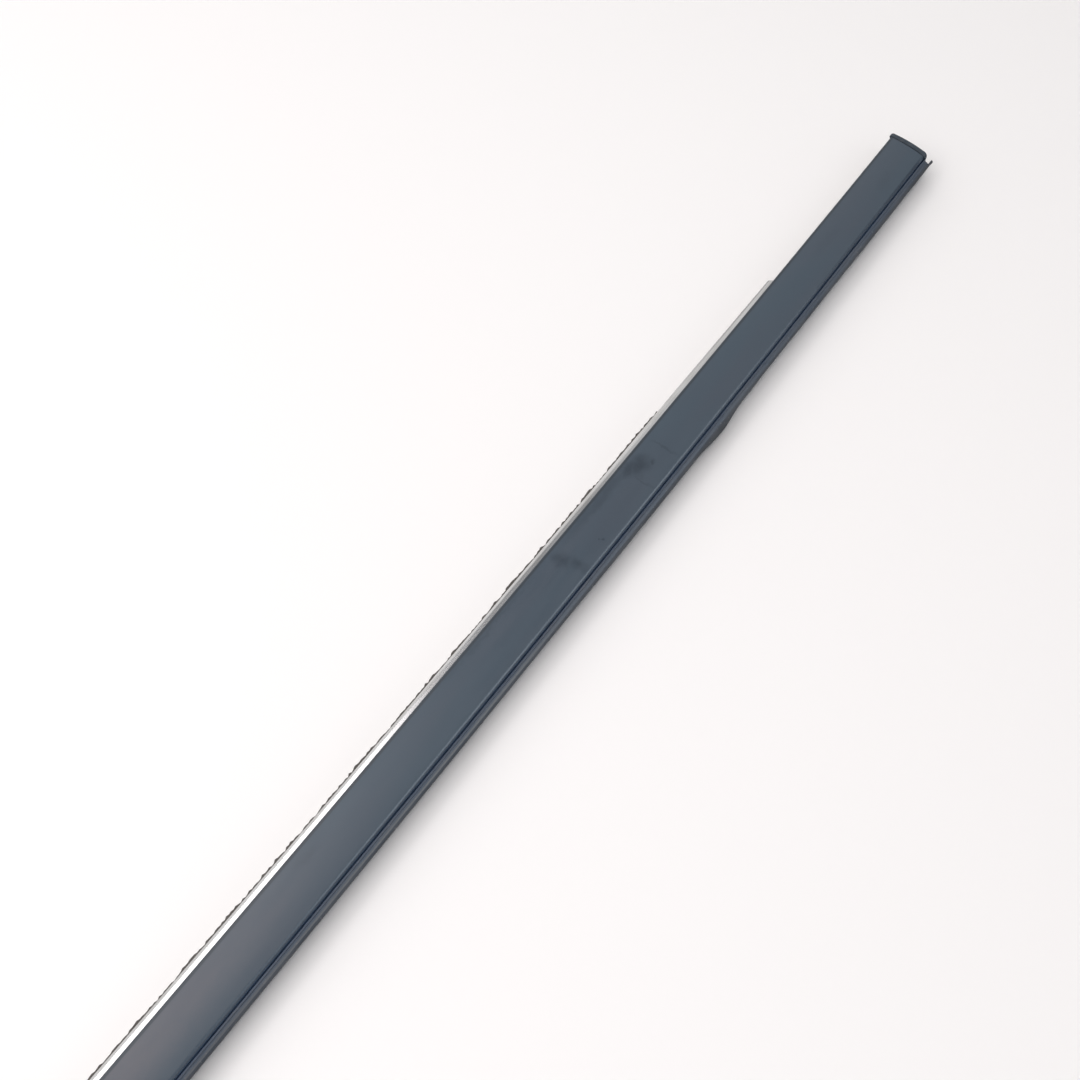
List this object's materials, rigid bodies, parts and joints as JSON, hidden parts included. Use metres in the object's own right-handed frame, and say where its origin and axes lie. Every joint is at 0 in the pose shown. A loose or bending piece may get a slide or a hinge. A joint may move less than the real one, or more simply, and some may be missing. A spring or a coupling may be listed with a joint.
{
  "type": "window moulding",
  "caption": "Long, gently bowed outer belt moulding for a vehicle door window: coated face strip, bright clip channel, rubber sealing lip, flocked wiper and end caps.",
  "frame": {"origin": "mid-length of the strip, on the flocked face of the glass lip, in the plane of the window glass", "axes": "+X along the strip away from the capped end that the picture shows, +Y across the strip towards the sealing lip, +Z out of the visible face"},
  "size_m": [0.9006, 0.0351, 0.0128],
  "materials": {
    "coated_metal": "satin black coating",
    "bright_metal": "bright rolled",
    "seal_rubber": "matt",
    "flock": "flocked",
    "cap_plastic": "fine moulded grain"
  },
  "bodies": {
    "root": {"face_strip": "coated_metal", "carrier": "bright_metal", "seal": "seal_rubber", "wiper_strip": "flock", "end_cap": "cap_plastic", "far_cap": "cap_plastic"}
  },
  "joints": []
}
